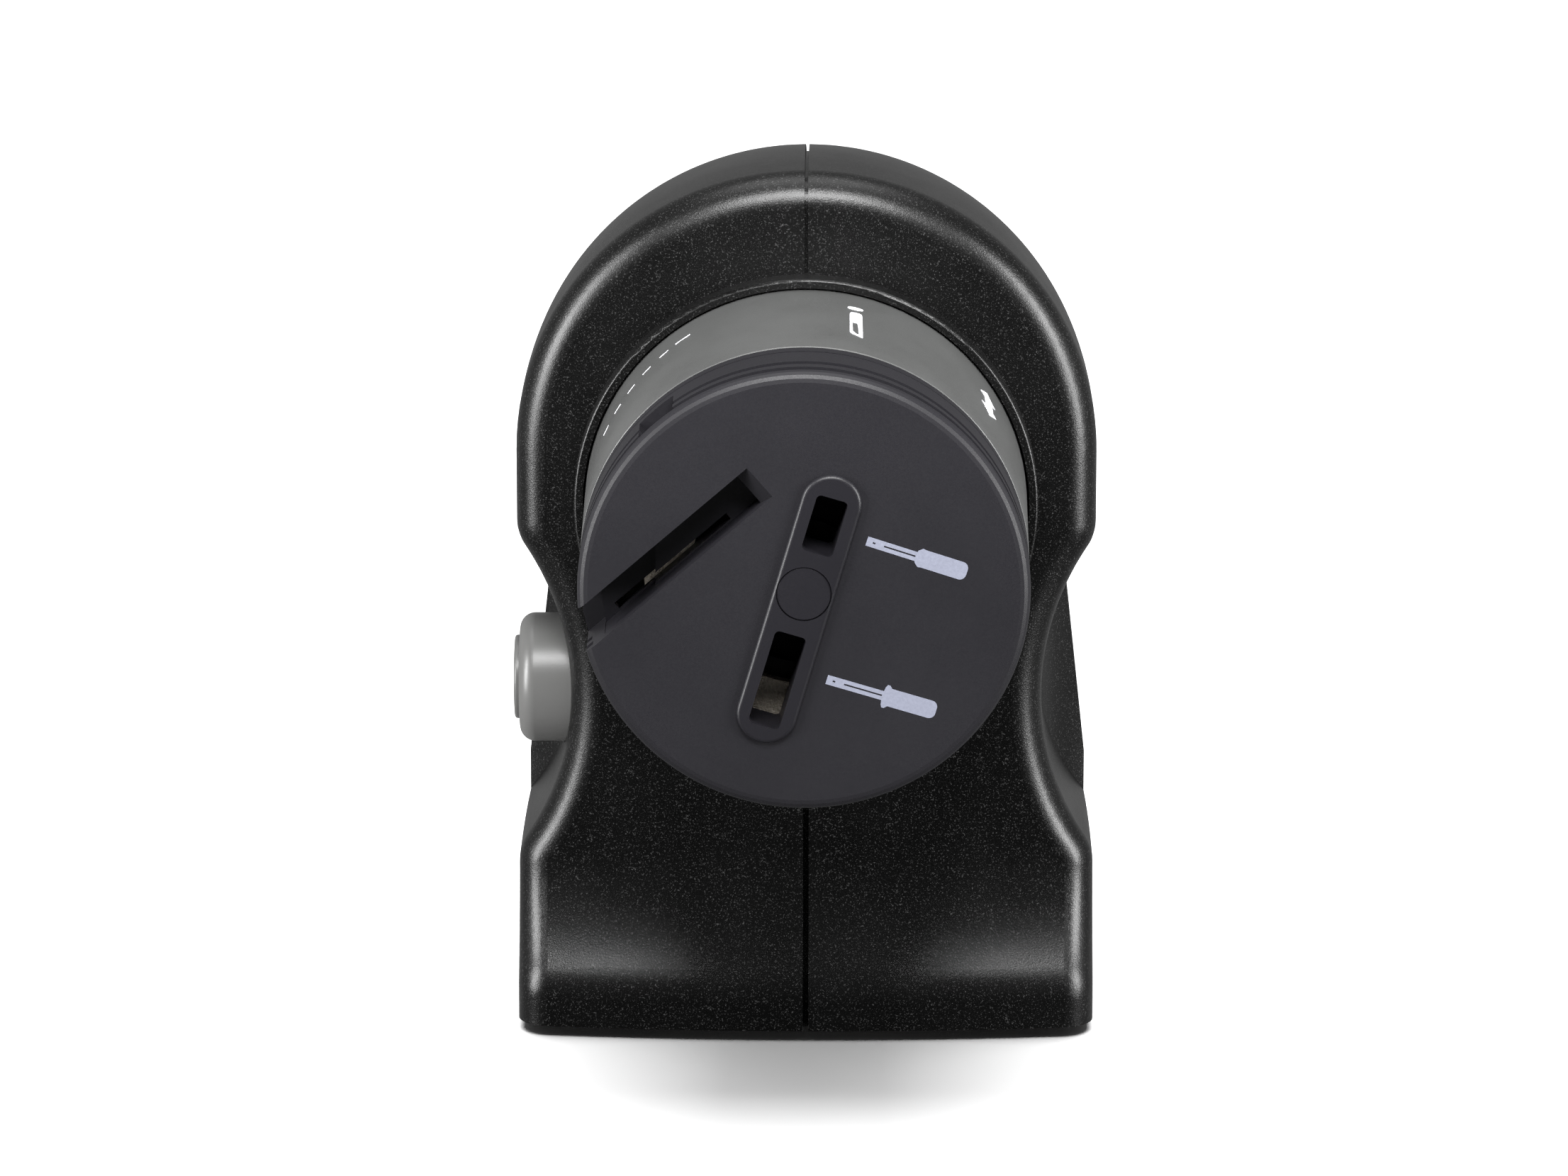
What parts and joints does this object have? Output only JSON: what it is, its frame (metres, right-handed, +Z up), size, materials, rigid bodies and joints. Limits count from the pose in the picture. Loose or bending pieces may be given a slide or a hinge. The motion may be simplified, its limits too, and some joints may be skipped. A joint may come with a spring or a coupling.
{
  "type": "electric knife sharpener",
  "caption": "Compact electric sharpener for knives, scissors and screwdrivers with a turning round head, an arched waisted body and a side push button.",
  "frame": {"origin": "centre of the footprint at the level of the feet", "axes": "+Z up, the turning head faces -Y, the push button is on the -X side"},
  "size_m": [0.0986, 0.1496, 0.148],
  "materials": {
    "housing_plastic": "fine sparked grain",
    "base_plastic": "smooth",
    "drum_plastic": "satin",
    "face_plastic": "satin",
    "guide_plastic": "satin",
    "inner_plastic": "smooth",
    "button_plastic": "satin",
    "foot_rubber": "smooth",
    "screw_steel": "zinc plated",
    "spring_steel": "bright",
    "motor_steel": "satin",
    "core_steel": "laminated",
    "magnet": "dull",
    "copper": "bright",
    "hub_brass": "turned",
    "flange_aluminium": "dark, dull",
    "abrasive": "coarse bonded grain",
    "board": "green board",
    "components": "mixed",
    "switch_plastic": "smooth"
  },
  "bodies": {
    "base": {"housing_left": "housing_plastic", "housing_right": "housing_plastic", "base_plate": "base_plastic", "suction_feet": "foot_rubber", "base_screws": "screw_steel", "housing_screws": "screw_steel", "cord_gland": "foot_rubber", "head_spigot": "inner_plastic", "spigot_screws": "screw_steel", "retaining_ring": "spring_steel", "dust_shield": "inner_plastic", "motor_can": "motor_steel", "motor_screws": "screw_steel", "motor_ring": "foot_rubber", "stator_magnets": "magnet", "motor_end_cap": "inner_plastic", "circuit_board": "board", "board_components": "components", "push_switch": "switch_plastic", "button_spring": "spring_steel"},
    "head": {"head_drum": "drum_plastic", "face_cap": "face_plastic", "knife_guide": "guide_plastic", "guide_insert": "guide_plastic", "centre_plug": "guide_plastic", "cap_screws": "screw_steel"},
    "spindle": {"motor_shaft": "screw_steel", "wheel_hub": "hub_brass", "wheel_flange": "flange_aluminium", "grinding_wheel": "abrasive", "wheel_screw": "screw_steel", "armature": "core_steel", "commutator": "copper"},
    "button": {"on_button": "button_plastic"}
  },
  "joints": [
    {"name": "head_turn", "type": "hinge", "parent": "base", "child": "head", "pos_m": [0, -0.03, 0.0927], "axis": [0, 1, 0], "range_deg": [0, 100]},
    {"name": "spindle_spin", "type": "hinge", "parent": "base", "child": "spindle", "pos_m": [0, -0.03, 0.0927], "axis": [0, 1, 0], "continuous": true},
    {"name": "button_press", "type": "slide", "parent": "base", "child": "button", "axis": [1, 0, 0], "range_m": [0, 0.002], "stiffness_N_per_m": 400, "deforming": ["button_spring"]}
  ]
}
